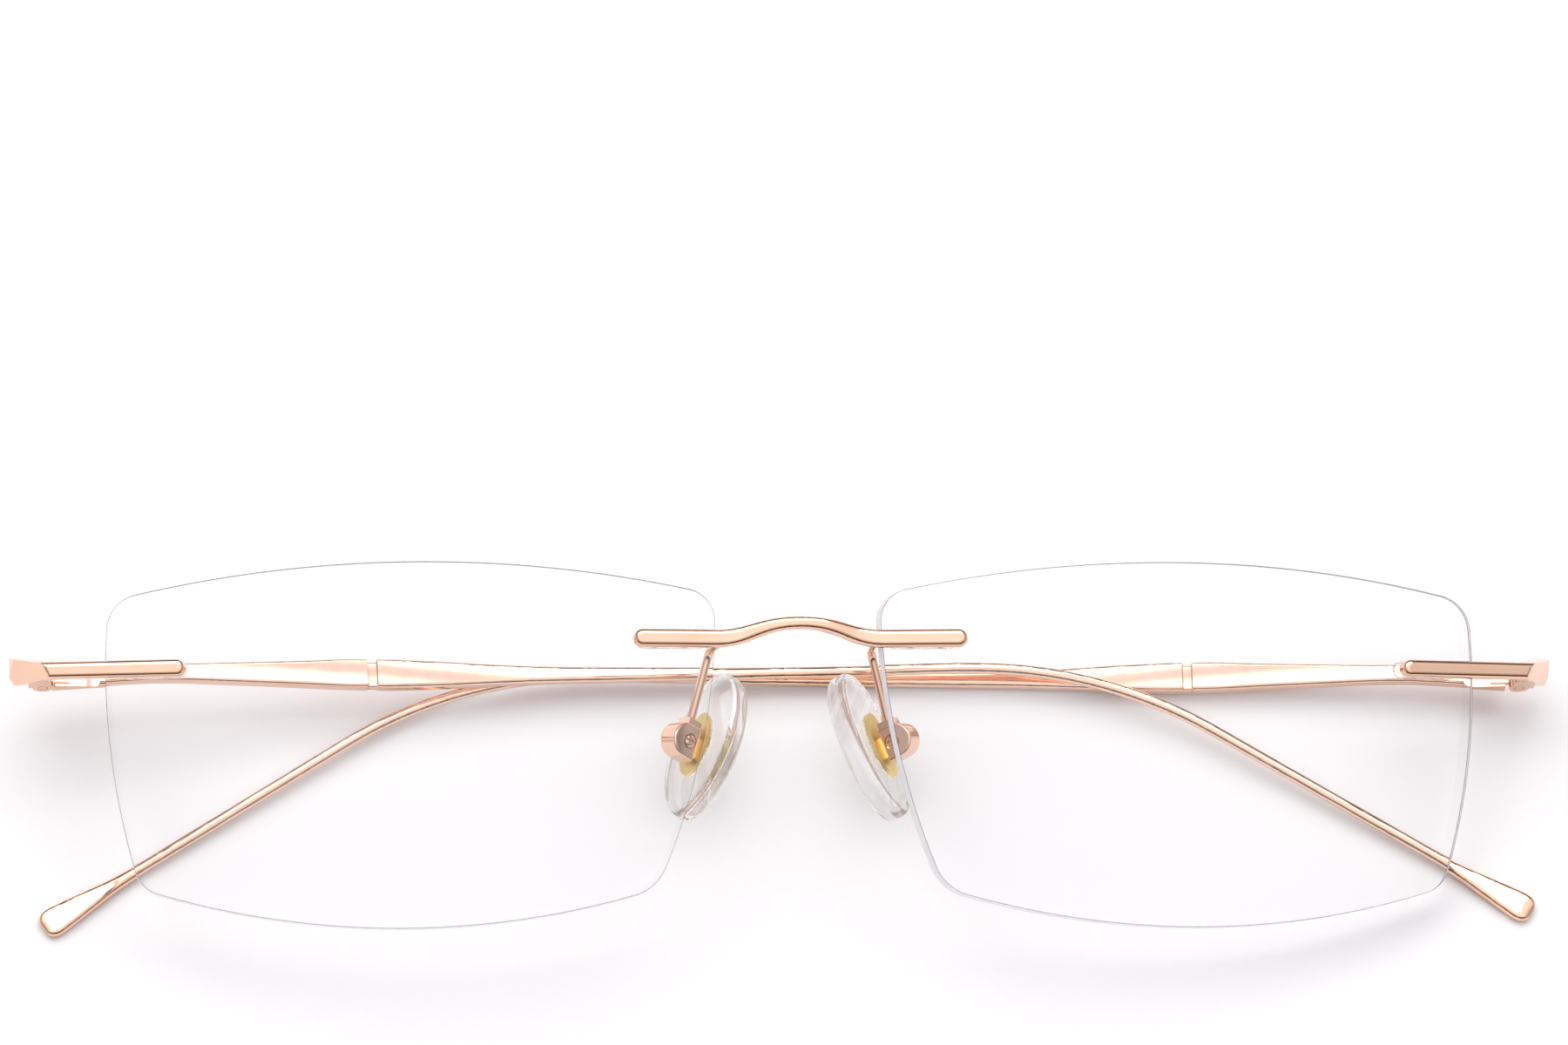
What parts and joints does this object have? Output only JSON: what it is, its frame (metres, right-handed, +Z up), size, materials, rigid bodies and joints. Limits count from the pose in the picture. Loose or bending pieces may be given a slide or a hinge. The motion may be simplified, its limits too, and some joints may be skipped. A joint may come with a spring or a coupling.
{
  "type": "eyeglasses",
  "caption": "Rimless drill-mounted eyeglasses with an arched bridge, folding wire temples and rocking nose pads, lying folded on the temples",
  "frame": {"origin": "middle of the bounding box on the table, under the glasses", "axes": "+Z up from the table on which the folded temples rest; +X to the wearer's left, along the width; +Y towards the brow side"},
  "size_m": [0.144, 0.0324, 0.0203],
  "materials": {
    "frame_metal": "polished rose gold plating",
    "insert": "polished yellow gold plating",
    "lens": "clear, polished",
    "sleeve": "clear moulded plastic",
    "pad": "clear silicone"
  },
  "bodies": {
    "temple_left_arm": {"hinge_rear_left": "frame_metal", "temple_front_left": "frame_metal", "temple_rear_left": "frame_metal"},
    "front": {"bridge": "frame_metal", "bridge_sleeve_left": "sleeve", "bridge_sleeve_right": "sleeve", "bridge_studs": "frame_metal", "end_piece_left": "frame_metal", "end_piece_right": "frame_metal", "end_sleeve_left": "sleeve", "end_sleeve_right": "sleeve", "end_studs_left": "frame_metal", "end_studs_right": "frame_metal", "hinge_front_left": "frame_metal", "hinge_front_right": "frame_metal", "hinge_screw_left": "frame_metal", "hinge_screw_right": "frame_metal", "lens_left": "lens", "lens_right": "lens", "pad_arm_left": "frame_metal", "pad_arm_right": "frame_metal", "pad_box_left": "frame_metal", "pad_box_right": "frame_metal", "pad_screw_left": "frame_metal", "pad_screw_right": "frame_metal"},
    "temple_right_arm": {"hinge_rear_right": "frame_metal", "temple_front_right": "frame_metal", "temple_rear_right": "frame_metal"},
    "pad_left": {"nose_pad_left": "pad", "pad_insert_left": "insert"},
    "pad_right": {"nose_pad_right": "pad", "pad_insert_right": "insert"}
  },
  "joints": [
    {"name": "left_temple_hinge", "type": "hinge", "parent": "temple_left_arm", "child": "front", "pos_m": [0.06899, 0.00969, 0.00457], "axis": [0.0021, 0.9966, 0.0828], "range_deg": [0, 88]},
    {"name": "right_temple_hinge", "type": "hinge", "parent": "front", "child": "temple_right_arm", "pos_m": [-0.06896, 0.00969, 0.00813], "axis": [0.0021, 0.9966, 0.0828], "range_deg": [0, 89.5]},
    {"name": "left_pad_rock", "type": "hinge", "parent": "front", "child": "pad_left", "pos_m": [0.0101, 0.00301, 0.00629], "axis": [-0.5508, -0.312, 0.7741], "range_deg": [-8, 8]},
    {"name": "right_pad_rock", "type": "hinge", "parent": "front", "child": "pad_right", "pos_m": [-0.01006, 0.00301, 0.00681], "axis": [0.59, -0.312, 0.7447], "range_deg": [-8, 8]}
  ]
}
